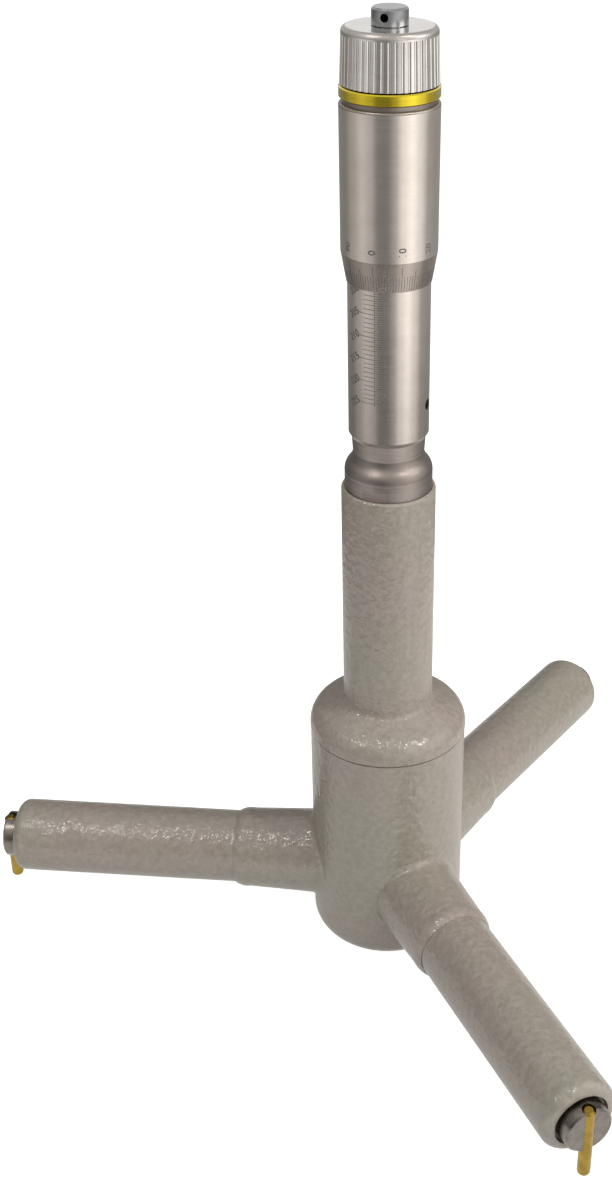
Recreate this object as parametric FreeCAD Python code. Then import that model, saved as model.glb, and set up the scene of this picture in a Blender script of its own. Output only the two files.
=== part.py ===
import FreeCAD, Part
import math
import os

from FreeCAD import Vector

# Three-point inside micrometer for bores of 200 to 225 mm, standing on the flat bottom of its head body.
# Lengths are in millimetres. Z is the instrument axis, and the origin is the centre of the body's bottom.
# Everything stands at the smallest reading: the thimble is up and the three anvils are in.

# Measuring range and screw
SMALLEST_BORE = 200.0
LARGEST_BORE = 225.0
SPINDLE_TRAVEL = 25.0
ARM_ANGLES = (60.0, 180.0, 300.0)

# Clearances
RUNNING = 0.05
SEAT = 0.02
FREE = 0.3

# Head body and its three bosses
BODY_HEIGHT = 60.1
BODY_WALL = 2.93
BODY_FLOOR = 3.5
BODY_FOOT_ROUND = 5.5
ARM_HEIGHT = 19.0
BOSS_STAND = 19.7
BOSS_ROOT_RADIUS = 10.8
BOSS_TIP_RADIUS = 10.05
BOSS_ROUND_LENGTH = 3.8
BOSS_LIP = 0.2
BOSS_SEAT_DEPTH = 12.5
BOSS_SEAT_WALL = 0.95
BOSS_FILLET = 1.6

# Painted housing with the stem
SEAM_GROOVE = 0.35
SEAM_DEPTH = 0.5
HOUSING_STEP = 0.1
HOUSING_SKIRT = 1.0
SHOULDER_ROUND = 5.0
SHOULDER_ANGLE = 65.0
SHOULDER_FILLET = 1.5
STEM_RADIUS = 10.65
STEM_LENGTH = 65.0
STEM_EDGE_ROUND = 0.7
STEM_RIM_BEVEL = 0.25
STEM_BORE_RADIUS = 7.6
HOUSING_SPIGOT_DEPTH = 10.0
HOUSING_SPIGOT_WALL = 2.4
HOUSING_ROOF = 4.5

# Chrome collar between the stem and the sleeve
COLLAR_RADIUS = 9.85
COLLAR_STAND = 4.2
COLLAR_DEPTH = 7.0
COLLAR_THREAD_RADIUS = 8.6
COLLAR_THREAD_DEPTH = 10.0
COLLAR_FLAT_DEPTH = 0.5
COLLAR_FLAT_HEIGHT = 2.1
COLLAR_FLAT_ABOVE = 0.3
COLLAR_FLAT_ANGLE = 257.0
FLARE_HEIGHT = 4.5
NECK_RADIUS = 7.95
NECK_TOP_RADIUS = 8.2
NECK_HEIGHT = 3.8
COLLAR_BORE_RADIUS = 5.2

# Sleeve, its inner sleeve with the screw thread, and the adjusting nut
SLEEVE_RADIUS = 8.86
SLEEVE_WALL = 1.8
SLEEVE_CHAMFER = 0.6
SLEEVE_CHAMFER_HEIGHT = 1.0
BARE_SLEEVE = 10.4
SLEEVE_OVERLAP = 3.0
SPANNER_HOLE_RADIUS = 1.2
SPANNER_HOLE_ABOVE = 8.2
SPANNER_HOLE_ANGLE = -15.0
ADJUSTER_HEIGHT = 3.0
ADJUSTER_RADIUS = 7.9
ADJUSTER_NOTCHES = 4
ADJUSTER_NOTCH_WIDTH = 1.6
INNER_SLEEVE_TIP_RADIUS = 6.2
INNER_SLEEVE_SLOT = 0.8
INNER_SLEEVE_SLOT_DEPTH = 12.0

# Thimble, coloured ring and spindle
THIMBLE_TOP_RADIUS = 10.26
THIMBLE_LOW_RADIUS = 10.18
THIMBLE_BEVEL_HEIGHT = 6.4
THIMBLE_LIP_WALL = 0.14
THIMBLE_EDGE_ROUND = 0.5
THIMBLE_END_WALL = 5.1
THIMBLE_TOP_ROOM = 0.5
THIMBLE_GROOVE_HEIGHT = 0.95
THIMBLE_GROOVE_DEPTH = 0.75
RING_RADIUS = 10.2
RING_HEIGHT = 2.35
RING_WALL = 2.0
RING_EDGE = 0.25
SPINDLE_RADIUS = 4.0
SPINDLE_BELOW_SLEEVE = 7.6
SPINDLE_STUB_RADIUS = 3.0
SPINDLE_BORE_RADIUS = 2.6

# Ratchet stop: toothed wheel, click spring, fluted knob and the screw with the cross hole
KNOB_LOW_RADIUS = 10.0
KNOB_TOP_RADIUS = 9.66
KNOB_HEIGHT = 10.9
KNOB_EDGE_ROUND = 1.1
KNOB_WALL = 2.2
FLUTE_COUNT = 46
FLUTE_RADIUS = 0.42
FLUTE_DEPTH = 0.22
FLUTE_TOP_MARGIN = 1.5
RATCHET_TEETH = 24
RATCHET_TOOTH_DEPTH = 0.6
RATCHET_WHEEL_HEIGHT = 4.6
RATCHET_WHEEL_RADIUS = 6.5
CLICK_SPRING_STRIP = 0.35
CLICK_SPRING_WIDTH = 2.0
CLICK_SPRING_GAP = 70.0
CLICK_SPRING_TIP = 0.27
SCREW_THREAD_RADIUS = 2.3
SCREW_SHOULDER_RADIUS = 3.0
SCREW_DEPTH = 11.0
SPIGOT_RADIUS = 3.68
SPIGOT_HEIGHT = 3.3
SPIGOT_CHAMFER = 0.4
CROSS_HOLE_RADIUS = 0.8
CROSS_HOLE_ANGLE = 257.0

# Push rod with the measuring cone, its guide and key
ROD_RADIUS = 4.6
ROD_SHANK_RADIUS = 2.55
ROD_SHANK_LENGTH = 33.0
CONE_HALF_ANGLE = 45.0
CONE_TIP_RADIUS = 0.8
CONE_RIM_HEIGHT = 1.5
CONE_ROOM = 0.5
CONE_SEAT_RADIUS = 2.9
CONE_SEAT_DEPTH = 8.0
GUIDE_HEIGHT = 12.0
GUIDE_ABOVE_SEAM = 10.0
ROD_KEY_WIDTH = 2.0
ROD_KEY_DEPTH = 1.3
ROD_KEY_HEIGHT = 6.0

# Arm tubes and the anvils that slide in them
TUBE_RADIUS = 9.15
TUBE_END = 96.2
TUBE_END_ROUND = 2.4
TUBE_BORE_RADIUS = 7.2
TUBE_MOUTH_RADIUS = 6.55
TUBE_MOUTH_DEPTH = 1.6
TUBE_GUIDE_LENGTH = 16.6
ANVIL_RADIUS = 5.75
ANVIL_FACE_SETBACK = 0.6
ANVIL_CHAMFER = 0.4
ANVIL_LENGTH = 49.4
ANVIL_HEAD_RADIUS = 6.85
ANVIL_HEAD_LENGTH = 2.0
ANVIL_KEY_WIDTH = 3.0
ANVIL_KEY_DEPTH = 1.4
ANVIL_KEY_LENGTH = 4.0
ANVIL_KEY_FROM_MOUTH = 6.6
CONTACT_PIN_RADIUS = 1.5
CONTACT_PIN_LENGTH = 19.1
CONTACT_PIN_BELOW_AXIS = 13.6
CONTACT_PIN_ROUND = 1.1
FOLLOWER_RADIUS = 2.2
FOLLOWER_REST = 4.2
FOLLOWER_GAP = 0.1
FOLLOWER_THREAD_DEPTH = 8.0
ROD_BUSH_RADIUS = 4.6
ROD_BUSH_FLANGE = 2.0
RETURN_SPRING_WIRE = 0.45
RETURN_SPRING_TURNS = 6

# Levels and radii worked out from the sizes above
anvil_travel = (LARGEST_BORE - SMALLEST_BORE) / 2
rod_travel = anvil_travel / math.tan(math.radians(CONE_HALF_ANGLE))
contact_reach = SMALLEST_BORE / 2
slant = math.radians(CONE_HALF_ANGLE)
cone_contact_radius = FOLLOWER_REST - (FOLLOWER_RADIUS + FOLLOWER_GAP) * math.cos(slant)
cone_contact_z = ARM_HEIGHT + (FOLLOWER_RADIUS + FOLLOWER_GAP) * math.sin(slant)
cone_tip_z = cone_contact_z - (cone_contact_radius - CONE_TIP_RADIUS) / math.tan(slant)
cone_rim_radius = cone_contact_radius + anvil_travel + FREE
cone_rim_z = cone_contact_z + (cone_rim_radius - cone_contact_radius) / math.tan(slant)
cone_top_z = cone_rim_z + CONE_RIM_HEIGHT
body_bore = cone_rim_radius + CONE_ROOM
body_radius = body_bore + BODY_WALL
housing_radius = body_radius + HOUSING_STEP
boss_end = body_radius + BOSS_STAND
seam_z = BODY_HEIGHT
stem_top_z = seam_z + STEM_LENGTH
flare_z = stem_top_z + COLLAR_STAND
neck_z = flare_z + FLARE_HEIGHT
sleeve_z = neck_z + NECK_HEIGHT
thimble_z = sleeve_z + BARE_SLEEVE + SPINDLE_TRAVEL
sleeve_top_z = thimble_z + SLEEVE_OVERLAP
adjuster_top_z = sleeve_top_z + ADJUSTER_HEIGHT
thimble_roof_z = adjuster_top_z + SPINDLE_TRAVEL + THIMBLE_TOP_ROOM
thimble_top_z = thimble_roof_z + THIMBLE_END_WALL
ring_z = thimble_top_z + THIMBLE_GROOVE_HEIGHT
ring_top_z = ring_z + RING_HEIGHT
knob_z = ring_top_z + FREE
knob_top_z = knob_z + KNOB_HEIGHT
spigot_z = knob_top_z + FREE / 2
spigot_top_z = spigot_z + SPIGOT_HEIGHT
wheel_top_z = ring_top_z + RATCHET_WHEEL_HEIGHT
knob_roof_z = wheel_top_z + FREE
spindle_z = sleeve_z - SPINDLE_BELOW_SLEEVE
spindle_bore_top_z = spindle_z + ROD_SHANK_LENGTH + SPINDLE_TRAVEL - rod_travel + FREE
rod_shoulder_z = spindle_z - (SPINDLE_TRAVEL - rod_travel) - FREE
boss_bore = TUBE_BORE_RADIUS + BOSS_SEAT_WALL
bush_face = boss_end - BOSS_SEAT_DEPTH
tube_guide = TUBE_END - TUBE_MOUTH_DEPTH - TUBE_GUIDE_LENGTH
anvil_face = contact_reach - ANVIL_FACE_SETBACK
anvil_back = anvil_face - ANVIL_LENGTH
pin_reach = contact_reach - CONTACT_PIN_RADIUS


def profile_face(start, *steps):
    """A flat face in the XZ plane. A step is a point, or a pair of points: an arc's middle and its end."""
    edges = []
    here = start
    for step in steps + (start,):
        curved = isinstance(step[0], tuple)
        end = step[1] if curved else step
        a = Vector(here[0], 0, here[1])
        b = Vector(end[0], 0, end[1])
        if curved:
            middle = Vector(step[0][0], 0, step[0][1])
            edges.append(Part.Arc(a, middle, b).toShape())
        elif a.distanceToPoint(b) > 1e-6:
            edges.append(Part.makeLine(a, b))
        here = end
    return Part.Face(Part.Wire(edges))


def turned(start, *steps):
    """A solid turned about Z from a profile of (radius, height) points."""
    return profile_face(start, *steps).revolve(Vector(0, 0, 0), Vector(0, 0, 1), 360)


def turned_on_arm(start, *steps):
    """A solid turned about the axis of the arm that points along X, from (reach, radius) points."""
    solid = profile_face(start, *steps).revolve(Vector(0, 0, 0), Vector(1, 0, 0), 360)
    return solid.translated(Vector(0, 0, ARM_HEIGHT))


def rod(radius, low, high):
    return Part.makeCylinder(radius, high - low, Vector(0, 0, low))


def rod_on_arm(radius, low, high):
    return Part.makeCylinder(radius, high - low, Vector(low, 0, ARM_HEIGHT), Vector(1, 0, 0))


def radial_hole(radius, inner, outer, height, angle):
    """A drill that points outwards at an angle round Z."""
    out = Vector(math.cos(math.radians(angle)), math.sin(math.radians(angle)), 0)
    return Part.makeCylinder(radius, outer - inner, out * inner + Vector(0, 0, height), out)


def turned_round(shape, angle):
    """A copy of a shape turned about Z."""
    copy = shape.copy()
    copy.rotate(Vector(0, 0, 0), Vector(0, 0, 1), angle)
    return copy


def ring_of(shape, count):
    """Copies of a shape spread evenly about Z, as one compound."""
    return Part.makeCompound([turned_round(shape, 360.0 * i / count) for i in range(count)])


def coil(mean_radius, wire_radius, length, turns):
    """A round-wire spring about Z, from half turns that are each a tilted half ring."""
    rise = length / turns / 2
    start = Vector(mean_radius, 0, 0)
    section = Part.Face(Part.Wire(Part.makeCircle(wire_radius, start, Vector(0, 1, 0))))
    half = section.revolve(Vector(0, 0, rise / 2), Vector(rise / 2, 0, mean_radius), 180)
    pieces = [turned_round(half, 180 * n).translated(Vector(0, 0, n * rise)) for n in range(2 * turns)]
    return pieces[0].fuse(pieces[1:])


def mid_arc(centre, radius, angle):
    """The point at an angle, in degrees, on a circle in a profile."""
    turn = math.radians(angle)
    return (centre[0] + radius * math.cos(turn), centre[1] + radius * math.sin(turn))


# Head body: a round casting with three drafted bosses, bored for the cone and the tubes
def boss():
    """One drafted boss along X, with its outer end rounded down to the tube."""
    round_start = boss_end - BOSS_ROUND_LENGTH
    lip = TUBE_RADIUS + BOSS_LIP
    drop = BOSS_TIP_RADIUS - lip
    middle = (round_start + 0.72 * BOSS_ROUND_LENGTH, BOSS_TIP_RADIUS - 0.3 * drop)
    return turned_on_arm(
        (0, 0),
        (0, BOSS_ROOT_RADIUS),
        (body_bore, BOSS_ROOT_RADIUS),
        (round_start, BOSS_TIP_RADIUS),
        (middle, (boss_end, lip)),
        (boss_end, 0),
    )


def head_body():
    corner = (body_radius - BODY_FOOT_ROUND, BODY_FOOT_ROUND)
    barrel = turned(
        (0, 0),
        (corner[0], 0),
        (mid_arc(corner, BODY_FOOT_ROUND, -45), (body_radius, corner[1])),
        (body_radius, seam_z),
        (0, seam_z),
    )
    casting = barrel.fuse([turned_round(boss(), angle) for angle in ARM_ANGLES]).removeSplitter()
    root_edges = [
        edge
        for edge in casting.Edges
        if all(abs(math.hypot(v.X, v.Y) - body_radius) < 0.01 for v in edge.Vertexes)
        and edge.BoundBox.ZMax < ARM_HEIGHT + BOSS_ROOT_RADIUS + 1
        and edge.BoundBox.ZLength > BOSS_ROOT_RADIUS / 2
    ]
    casting = casting.makeFillet(BOSS_FILLET, root_edges)
    casting = casting.cut(rod(body_bore, BODY_FLOOR, seam_z))
    for angle in ARM_ANGLES:
        seat = rod_on_arm(boss_bore + SEAT, bush_face - ROD_BUSH_FLANGE, boss_end)
        hole = rod_on_arm(ROD_BUSH_RADIUS + SEAT, 0, bush_face)
        casting = casting.cut(turned_round(seat, angle)).cut(turned_round(hole, angle))
    return casting


# Painted housing: a domed shoulder that runs up into the stem
def stem_housing():
    skirt_z = seam_z + SEAM_GROOVE
    centre = (housing_radius - SHOULDER_ROUND, skirt_z + HOUSING_SKIRT)
    top = mid_arc(centre, SHOULDER_ROUND, SHOULDER_ANGLE)
    # the concave fillet starts along the dome's tangent and ends upright on the stem
    slope = math.radians(90 - SHOULDER_ANGLE)
    hollow = (STEM_RADIUS + SHOULDER_FILLET, 0)
    foot_r = hollow[0] - SHOULDER_FILLET * math.sin(slope)
    run = top[0] - foot_r
    foot_z = top[1] + run * math.tan(slope)
    hollow = (hollow[0], foot_z + SHOULDER_FILLET * math.cos(slope))
    fillet_angle = 180 + (90 - math.degrees(slope)) / 2
    edge = (STEM_RADIUS - STEM_EDGE_ROUND, stem_top_z - STEM_EDGE_ROUND)
    spigot_inner = body_bore - HOUSING_SPIGOT_WALL
    collar_seat = COLLAR_RADIUS + SEAT
    return turned(
        (spigot_inner, seam_z - HOUSING_SPIGOT_DEPTH),
        (body_bore - SEAT, seam_z - HOUSING_SPIGOT_DEPTH),
        (body_bore - SEAT, seam_z),
        (body_radius - SEAM_DEPTH, seam_z),
        (body_radius - SEAM_DEPTH, skirt_z),
        (housing_radius, skirt_z),
        (housing_radius, centre[1]),
        (mid_arc(centre, SHOULDER_ROUND, SHOULDER_ANGLE / 2), top),
        (foot_r, foot_z),
        (mid_arc(hollow, SHOULDER_FILLET, fillet_angle), (STEM_RADIUS, hollow[1])),
        (STEM_RADIUS, edge[1]),
        (mid_arc(edge, STEM_EDGE_ROUND, 45), (edge[0], stem_top_z)),
        (collar_seat + STEM_RIM_BEVEL, stem_top_z),
        (collar_seat, stem_top_z - STEM_RIM_BEVEL),
        (collar_seat, stem_top_z - COLLAR_DEPTH),
        (COLLAR_THREAD_RADIUS + SEAT, stem_top_z - COLLAR_DEPTH),
        (COLLAR_THREAD_RADIUS + SEAT, stem_top_z - COLLAR_DEPTH - COLLAR_THREAD_DEPTH),
        (STEM_BORE_RADIUS, stem_top_z - COLLAR_DEPTH - COLLAR_THREAD_DEPTH),
        (STEM_BORE_RADIUS, seam_z + HOUSING_ROOF),
        (spigot_inner, seam_z + HOUSING_ROOF),
    )


def handle_collar():
    """The chrome collar, screwed into the stem, with two flats for a spanner."""
    spigot = SLEEVE_RADIUS - SLEEVE_WALL
    bend = ((COLLAR_RADIUS + NECK_RADIUS) / 2, (flare_z + neck_z) / 2)
    upper = ((NECK_RADIUS + 0.18 * (COLLAR_RADIUS - NECK_RADIUS), neck_z - 0.3 * FLARE_HEIGHT), (NECK_RADIUS, neck_z))
    lower = ((COLLAR_RADIUS - 0.18 * (COLLAR_RADIUS - NECK_RADIUS), flare_z + 0.3 * FLARE_HEIGHT), bend)
    collar = turned(
        (COLLAR_BORE_RADIUS, stem_top_z - COLLAR_DEPTH - COLLAR_THREAD_DEPTH),
        (COLLAR_THREAD_RADIUS, stem_top_z - COLLAR_DEPTH - COLLAR_THREAD_DEPTH),
        (COLLAR_THREAD_RADIUS, stem_top_z - COLLAR_DEPTH),
        (COLLAR_RADIUS, stem_top_z - COLLAR_DEPTH),
        (COLLAR_RADIUS, flare_z),
        lower,
        upper,
        (NECK_TOP_RADIUS, sleeve_z),
        (spigot - SEAT, sleeve_z),
        (spigot - SEAT, sleeve_z + NECK_HEIGHT),
        (COLLAR_BORE_RADIUS, sleeve_z + NECK_HEIGHT),
    )
    across = COLLAR_RADIUS - COLLAR_FLAT_DEPTH
    block = Part.makeBox(COLLAR_RADIUS, 4 * COLLAR_RADIUS, COLLAR_FLAT_HEIGHT)
    for side in (0, 180):
        cutter = block.translated(Vector(across, -2 * COLLAR_RADIUS, stem_top_z + COLLAR_FLAT_ABOVE))
        collar = collar.cut(turned_round(cutter, COLLAR_FLAT_ANGLE + side))
    return collar


# Sleeve, inner sleeve and adjusting nut
def sleeve():
    inner = SLEEVE_RADIUS - SLEEVE_WALL
    tube = turned(
        (inner, sleeve_z),
        (SLEEVE_RADIUS - SLEEVE_CHAMFER, sleeve_z),
        (SLEEVE_RADIUS, sleeve_z + SLEEVE_CHAMFER_HEIGHT),
        (SLEEVE_RADIUS, sleeve_top_z),
        (inner, sleeve_top_z),
    )
    height = sleeve_z + SPANNER_HOLE_ABOVE
    return tube.cut(radial_hole(SPANNER_HOLE_RADIUS, inner - 1, SLEEVE_RADIUS + 1, height, SPANNER_HOLE_ANGLE))


def inner_sleeve():
    """The nut of the spindle, with a slotted tapered tip that the adjusting nut closes."""
    outer = SLEEVE_RADIUS - SLEEVE_WALL - SEAT
    bore = SPINDLE_RADIUS + RUNNING
    low = sleeve_z + NECK_HEIGHT
    nut = turned(
        (bore, low),
        (outer, low),
        (outer, sleeve_top_z),
        (INNER_SLEEVE_TIP_RADIUS, sleeve_top_z),
        (INNER_SLEEVE_TIP_RADIUS, adjuster_top_z),
        (bore, adjuster_top_z),
    )
    slot = Part.makeBox(outer + 1, INNER_SLEEVE_SLOT, INNER_SLEEVE_SLOT_DEPTH)
    slot.translate(Vector(0, -INNER_SLEEVE_SLOT / 2, adjuster_top_z - INNER_SLEEVE_SLOT_DEPTH))
    return nut.cut(ring_of(slot, 3))


def adjusting_nut():
    ring = rod(ADJUSTER_RADIUS, sleeve_top_z, adjuster_top_z)
    ring = ring.cut(rod(INNER_SLEEVE_TIP_RADIUS + SEAT, sleeve_top_z, adjuster_top_z))
    notch = Part.makeBox(ADJUSTER_NOTCH_WIDTH, ADJUSTER_NOTCH_WIDTH, ADJUSTER_HEIGHT)
    notch.translate(Vector(ADJUSTER_RADIUS - ADJUSTER_NOTCH_WIDTH / 2, -ADJUSTER_NOTCH_WIDTH / 2, sleeve_top_z + 1))
    return ring.cut(ring_of(notch, ADJUSTER_NOTCHES))


# Thimble with its bevel, and the coloured ring above it
def thimble():
    bore = SLEEVE_RADIUS + RUNNING
    bevel_top = thimble_z + THIMBLE_BEVEL_HEIGHT
    corner = (THIMBLE_TOP_RADIUS - THIMBLE_EDGE_ROUND, thimble_top_z - THIMBLE_EDGE_ROUND)
    neck = RING_RADIUS - THIMBLE_GROOVE_DEPTH
    seat = RING_RADIUS - RING_WALL
    hole = SPINDLE_STUB_RADIUS + SEAT
    return turned(
        (bore, thimble_z),
        (bore + THIMBLE_LIP_WALL, thimble_z),
        (THIMBLE_LOW_RADIUS, bevel_top),
        (THIMBLE_TOP_RADIUS, corner[1]),
        (mid_arc(corner, THIMBLE_EDGE_ROUND, 45), (corner[0], thimble_top_z)),
        (neck, thimble_top_z),
        (neck, ring_z),
        (seat, ring_z),
        (seat, ring_top_z),
        (hole, ring_top_z),
        (hole, thimble_roof_z),
        (bore, thimble_roof_z),
    )


def thimble_ring():
    inner = RING_RADIUS - RING_WALL + SEAT
    return turned(
        (inner, ring_z),
        (RING_RADIUS - RING_EDGE, ring_z),
        (RING_RADIUS, ring_z + RING_EDGE),
        (RING_RADIUS, ring_top_z - RING_EDGE),
        (RING_RADIUS - RING_EDGE, ring_top_z),
        (inner, ring_top_z),
    )


def spindle():
    """The screw, bored from below for the push rod's finer thread."""
    return turned(
        (SPINDLE_BORE_RADIUS, spindle_z),
        (SPINDLE_RADIUS, spindle_z),
        (SPINDLE_RADIUS, thimble_roof_z),
        (SPINDLE_STUB_RADIUS, thimble_roof_z),
        (SPINDLE_STUB_RADIUS, ring_top_z),
        (SCREW_THREAD_RADIUS + SEAT, ring_top_z),
        (SCREW_THREAD_RADIUS + SEAT, ring_top_z - SCREW_DEPTH),
        (0, ring_top_z - SCREW_DEPTH),
        (0, spindle_bore_top_z),
        (SPINDLE_BORE_RADIUS, spindle_bore_top_z),
    )


# Ratchet stop
def polar(radius, angle, height):
    turn = math.radians(angle)
    return Vector(radius * math.cos(turn), radius * math.sin(turn), height)


def prism(points, height):
    """A solid raised from a flat outline."""
    return Part.Face(Part.makePolygon(points + points[:1])).extrude(Vector(0, 0, height))


def ratchet_wheel():
    """A wheel with saw teeth on its rim, clamped on the spindle by the ratchet screw."""
    root = RATCHET_WHEEL_RADIUS - RATCHET_TOOTH_DEPTH
    pitch = 360.0 / RATCHET_TEETH
    outline = []
    for tooth in range(RATCHET_TEETH):
        outline.append(polar(root, tooth * pitch, ring_top_z))
        outline.append(polar(RATCHET_WHEEL_RADIUS, (tooth + 1) * pitch, ring_top_z))
    wheel = prism(outline, RATCHET_WHEEL_HEIGHT)
    return wheel.cut(rod(SCREW_THREAD_RADIUS + SEAT, ring_top_z, wheel_top_z))


def click_spring():
    """An open spring ring in the knob's bore, with one end bent in against the ratchet wheel."""
    outer = KNOB_LOW_RADIUS - KNOB_WALL - SEAT
    inner = outer - CLICK_SPRING_STRIP
    low = ring_top_z + (RATCHET_WHEEL_HEIGHT - CLICK_SPRING_WIDTH) / 2
    high = low + CLICK_SPRING_WIDTH
    ring = rod(outer, low, high).cut(rod(inner, low, high))
    corner = [Vector(0, 0, low), polar(2 * outer, 0, low), polar(2 * outer, CLICK_SPRING_GAP, low)]
    ring = ring.cut(prism(corner, CLICK_SPRING_WIDTH))
    pitch = 360.0 / RATCHET_TEETH
    tip = (math.floor(CLICK_SPRING_GAP / pitch) - 0.5) * pitch
    tip_radius = RATCHET_WHEEL_RADIUS - RATCHET_TOOTH_DEPTH / 2 + CLICK_SPRING_TIP
    leaf = [
        polar(inner, CLICK_SPRING_GAP + 2, low),
        polar(outer, CLICK_SPRING_GAP + 2, low),
        polar(outer, CLICK_SPRING_GAP - 2, low),
        polar(tip_radius + CLICK_SPRING_STRIP, tip, low),
        polar(tip_radius, tip, low),
    ]
    return ring.fuse(prism(leaf, CLICK_SPRING_WIDTH)).removeSplitter()


def ratchet_knob():
    """The fluted knob: a cup that turns on the screw's shoulder."""
    bore = KNOB_LOW_RADIUS - KNOB_WALL
    corner = (KNOB_TOP_RADIUS - KNOB_EDGE_ROUND, knob_top_z - KNOB_EDGE_ROUND)
    hole = SCREW_SHOULDER_RADIUS + RUNNING
    cup = turned(
        (bore, knob_z),
        (KNOB_LOW_RADIUS, knob_z),
        (KNOB_TOP_RADIUS, corner[1]),
        (mid_arc(corner, KNOB_EDGE_ROUND, 45), (corner[0], knob_top_z)),
        (hole, knob_top_z),
        (hole, knob_roof_z),
        (bore, knob_roof_z),
    )
    lean = math.atan((KNOB_LOW_RADIUS - KNOB_TOP_RADIUS) / (KNOB_HEIGHT - KNOB_EDGE_ROUND))
    start = Vector(KNOB_LOW_RADIUS + FLUTE_RADIUS - FLUTE_DEPTH, 0, knob_z)
    upwards = Vector(-math.sin(lean), 0, math.cos(lean))
    length = KNOB_HEIGHT - FLUTE_TOP_MARGIN
    flute = Part.makeCylinder(FLUTE_RADIUS, length, start, upwards)
    return cup.cut(ring_of(flute, FLUTE_COUNT))


def ratchet_screw():
    """The shouldered screw that holds the ratchet, with a head drilled across for a pin spanner."""
    screw = turned(
        (0, ring_top_z - SCREW_DEPTH + FREE),
        (SCREW_THREAD_RADIUS, ring_top_z - SCREW_DEPTH + FREE),
        (SCREW_THREAD_RADIUS, wheel_top_z),
        (SCREW_SHOULDER_RADIUS, wheel_top_z),
        (SCREW_SHOULDER_RADIUS, spigot_z),
        (SPIGOT_RADIUS, spigot_z),
        (SPIGOT_RADIUS, spigot_top_z - SPIGOT_CHAMFER),
        (SPIGOT_RADIUS - SPIGOT_CHAMFER, spigot_top_z),
        (0, spigot_top_z),
    )
    height = (spigot_z + spigot_top_z) / 2
    return screw.cut(radial_hole(CROSS_HOLE_RADIUS, -SPIGOT_RADIUS - 1, SPIGOT_RADIUS + 1, height, CROSS_HOLE_ANGLE))


# Push rod and measuring cone
def measuring_cone():
    seat_z = cone_top_z - CONE_SEAT_DEPTH
    return turned(
        (0, cone_tip_z),
        (CONE_TIP_RADIUS, cone_tip_z),
        (cone_rim_radius, cone_rim_z),
        (cone_rim_radius, cone_top_z),
        (CONE_SEAT_RADIUS + SEAT, cone_top_z),
        (CONE_SEAT_RADIUS + SEAT, seat_z),
        (0, seat_z),
    )


def push_rod():
    """The rod that carries the cone. Its top is threaded into the spindle, and a keyway stops its turning."""
    seat_z = cone_top_z - CONE_SEAT_DEPTH + SEAT
    top_z = spindle_z + ROD_SHANK_LENGTH
    shaft = turned(
        (0, seat_z),
        (CONE_SEAT_RADIUS, seat_z),
        (CONE_SEAT_RADIUS, cone_top_z),
        (ROD_RADIUS, cone_top_z),
        (ROD_RADIUS, rod_shoulder_z),
        (ROD_SHANK_RADIUS, rod_shoulder_z),
        (ROD_SHANK_RADIUS, top_z),
        (0, top_z),
    )
    key_z = seam_z + GUIDE_ABOVE_SEAM + (GUIDE_HEIGHT - ROD_KEY_HEIGHT) / 2
    length = ROD_KEY_HEIGHT + rod_travel + 2 * FREE
    keyway = Part.makeBox(ROD_KEY_DEPTH + 1, ROD_KEY_WIDTH, length)
    keyway.translate(Vector(ROD_RADIUS - ROD_KEY_DEPTH, -ROD_KEY_WIDTH / 2, key_z - FREE))
    return shaft.cut(keyway)


def rod_guide():
    low = seam_z + GUIDE_ABOVE_SEAM
    guide = rod(STEM_BORE_RADIUS - SEAT, low, low + GUIDE_HEIGHT)
    guide = guide.cut(rod(ROD_RADIUS + RUNNING, low, low + GUIDE_HEIGHT))
    return guide.cut(key_block(SEAT))


def key_block(room):
    """The rod key's block, grown at its sides and outer end by some room."""
    low = seam_z + GUIDE_ABOVE_SEAM + (GUIDE_HEIGHT - ROD_KEY_HEIGHT) / 2
    inner = ROD_RADIUS - ROD_KEY_DEPTH + 2 * RUNNING
    width = ROD_KEY_WIDTH - 2 * RUNNING + 2 * room
    outer = (ROD_RADIUS + STEM_BORE_RADIUS) / 2 + room
    block = Part.makeBox(outer - inner, width, ROD_KEY_HEIGHT + 2 * room)
    return block.translated(Vector(inner, -width / 2, low - room))


def rod_key():
    return key_block(0)


# Arm along X: bush, tube, anvil, contact pin, follower rod, key and return spring
def rod_bush():
    """The flanged bush in the boss that guides the follower rod."""
    inner_end = math.sqrt(body_bore**2 - ROD_BUSH_RADIUS**2) + 2 * FREE + 1
    flange = rod_on_arm(boss_bore, bush_face - ROD_BUSH_FLANGE, bush_face)
    bush = flange.fuse(rod_on_arm(ROD_BUSH_RADIUS, inner_end, bush_face))
    return bush.cut(rod_on_arm(FOLLOWER_RADIUS + RUNNING, 0, bush_face))


def arm_tube():
    """The painted tube: screwed into the boss, reamed at its outer end to guide the anvil."""
    corner = (TUBE_END - TUBE_END_ROUND, TUBE_RADIUS - TUBE_END_ROUND)
    spigot = boss_bore - SEAT / 2
    guide = ANVIL_RADIUS + RUNNING
    mouth = TUBE_END - TUBE_MOUTH_DEPTH
    tube = turned_on_arm(
        (bush_face, TUBE_BORE_RADIUS),
        (bush_face, spigot),
        (boss_end, spigot),
        (boss_end, TUBE_RADIUS),
        (corner[0], TUBE_RADIUS),
        (mid_arc(corner, TUBE_END_ROUND, 45), (TUBE_END, corner[1])),
        (TUBE_END, TUBE_MOUTH_RADIUS),
        (mouth, TUBE_MOUTH_RADIUS),
        (mouth, guide),
        (tube_guide, guide),
        (tube_guide, TUBE_BORE_RADIUS),
    )
    return tube.cut(anvil_key_block(SEAT))


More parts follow.
